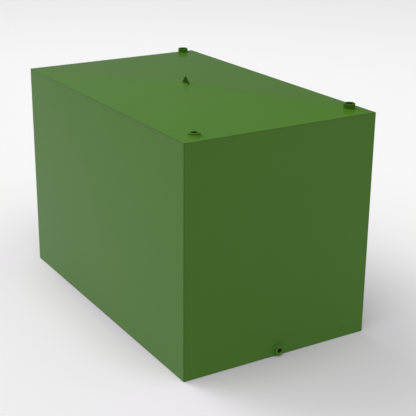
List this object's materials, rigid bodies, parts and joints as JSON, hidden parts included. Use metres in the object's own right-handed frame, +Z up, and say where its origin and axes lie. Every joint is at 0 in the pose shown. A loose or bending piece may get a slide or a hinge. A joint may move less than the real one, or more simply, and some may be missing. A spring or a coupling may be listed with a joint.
{
  "type": "single skin oil tank",
  "caption": "Rectangular welded steel tank for storing heating oil, with a cross-broken top, filling and venting sockets, a gauge boss, a lifting lug and a low outlet.",
  "frame": {"origin": "middle of the tank's underside, on the ground", "axes": "+Z up; +Y along the tank's length, away from the end that has the outlet; +X to the right as seen from that end"},
  "size_m": [1.12, 1.848, 1.295],
  "materials": {
    "shell_paint": "green gloss paint on rolled steel plate",
    "fitting_paint": "green gloss paint on turned and sheared steel",
    "weld_paint": "green paint over weld beads, a little rougher than the plate"
  },
  "bodies": {
    "root": {"base_plate": "shell_paint", "front_end_plate": "shell_paint", "back_end_plate": "shell_paint", "left_side_plate": "shell_paint", "right_side_plate": "shell_paint", "top_plate": "shell_paint", "front_left_corner_weld": "weld_paint", "front_right_corner_weld": "weld_paint", "back_left_corner_weld": "weld_paint", "back_right_corner_weld": "weld_paint", "base_front_seam_weld": "weld_paint", "base_back_seam_weld": "weld_paint", "base_left_seam_weld": "weld_paint", "base_right_seam_weld": "weld_paint", "top_front_seam_weld": "weld_paint", "top_back_seam_weld": "weld_paint", "top_left_seam_weld": "weld_paint", "top_right_seam_weld": "weld_paint", "fill_socket": "fitting_paint", "fill_socket_weld": "weld_paint", "vent_socket": "fitting_paint", "vent_socket_weld": "weld_paint", "gauge_boss": "fitting_paint", "gauge_boss_weld": "weld_paint", "outlet_socket": "fitting_paint", "outlet_socket_weld": "weld_paint", "lifting_lug": "fitting_paint", "lug_left_weld": "weld_paint", "lug_right_weld": "weld_paint"}
  },
  "joints": []
}
